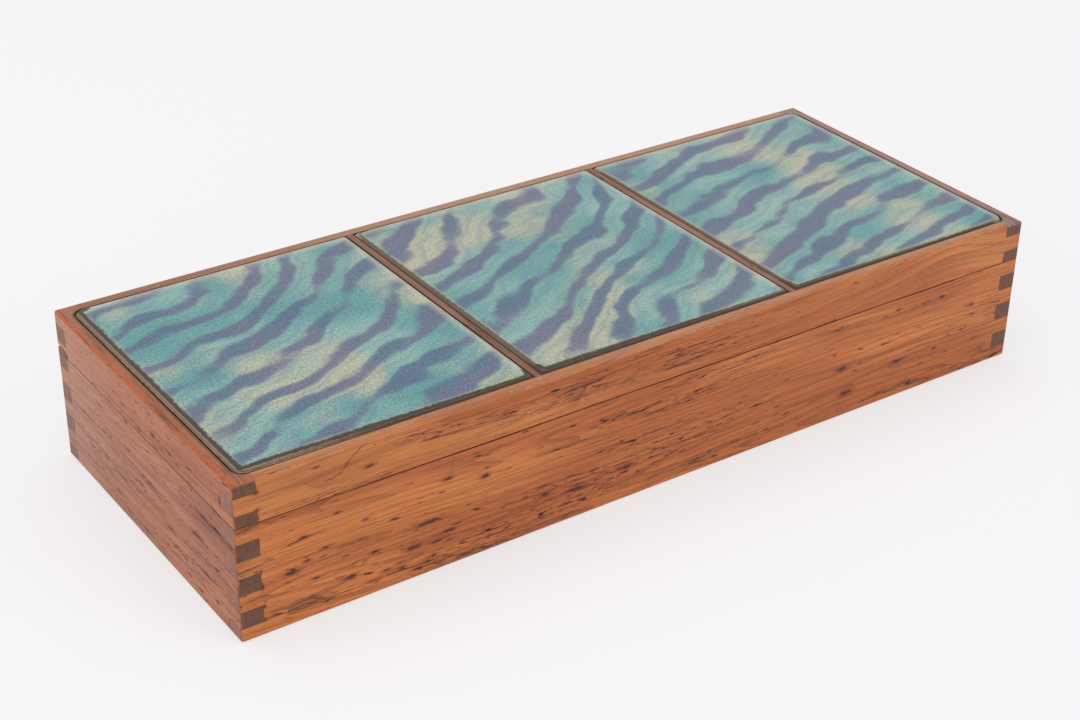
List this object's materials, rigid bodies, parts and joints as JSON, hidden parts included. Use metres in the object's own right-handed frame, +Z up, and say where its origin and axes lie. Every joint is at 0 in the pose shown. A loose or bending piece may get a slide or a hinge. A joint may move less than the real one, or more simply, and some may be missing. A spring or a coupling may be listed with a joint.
{
  "type": "hinged box with enamelled tile lid",
  "caption": "Long low hardwood box with finger-jointed corners; a rear-hinged lid holds enamelled copper tiles between wooden strips.",
  "frame": {"origin": "middle of the base's underside, on the surface that the box stands on", "axes": "+X along the box's length, +Y from the front to the hinged back, +Z up through the lid"},
  "size_m": [0.292, 0.1158, 0.0511],
  "materials": {
    "base_wood": "oiled",
    "base_end_wood": "oiled",
    "lid_wood": "oiled",
    "lid_end_wood": "oiled",
    "board_wood": "plain",
    "divider_wood": "oiled",
    "copper": "tarnished",
    "enamel": "satin",
    "hinge_brass": "aged",
    "pin_brass": "aged",
    "screw_brass": "aged"
  },
  "bodies": {
    "base": {"base_front_wall": "base_wood", "base_back_wall": "base_wood", "base_left_wall": "base_end_wood", "base_right_wall": "base_end_wood", "base_bottom_board": "board_wood", "base_hinge_leaf_left": "hinge_brass", "base_hinge_leaf_right": "hinge_brass", "hinge_pin_left": "pin_brass", "hinge_pin_right": "pin_brass", "base_hinge_screws": "screw_brass"},
    "lid": {"lid_front_wall": "lid_wood", "lid_back_wall": "lid_wood", "lid_left_wall": "lid_end_wood", "lid_right_wall": "lid_end_wood", "lid_board": "board_wood", "lid_divider_1": "divider_wood", "lid_divider_2": "divider_wood", "tile_1_copper": "copper", "tile_2_copper": "copper", "tile_3_copper": "copper", "tile_1_enamel": "enamel", "tile_2_enamel": "enamel", "tile_3_enamel": "enamel", "lid_hinge_leaf_left": "hinge_brass", "lid_hinge_leaf_right": "hinge_brass", "lid_hinge_screws": "screw_brass"}
  },
  "joints": [
    {"name": "lid_hinge", "type": "hinge", "parent": "base", "child": "lid", "pos_m": [0, 0.0568, 0.0396], "axis": [-1, 0, 0], "range_deg": [0, 100]}
  ]
}
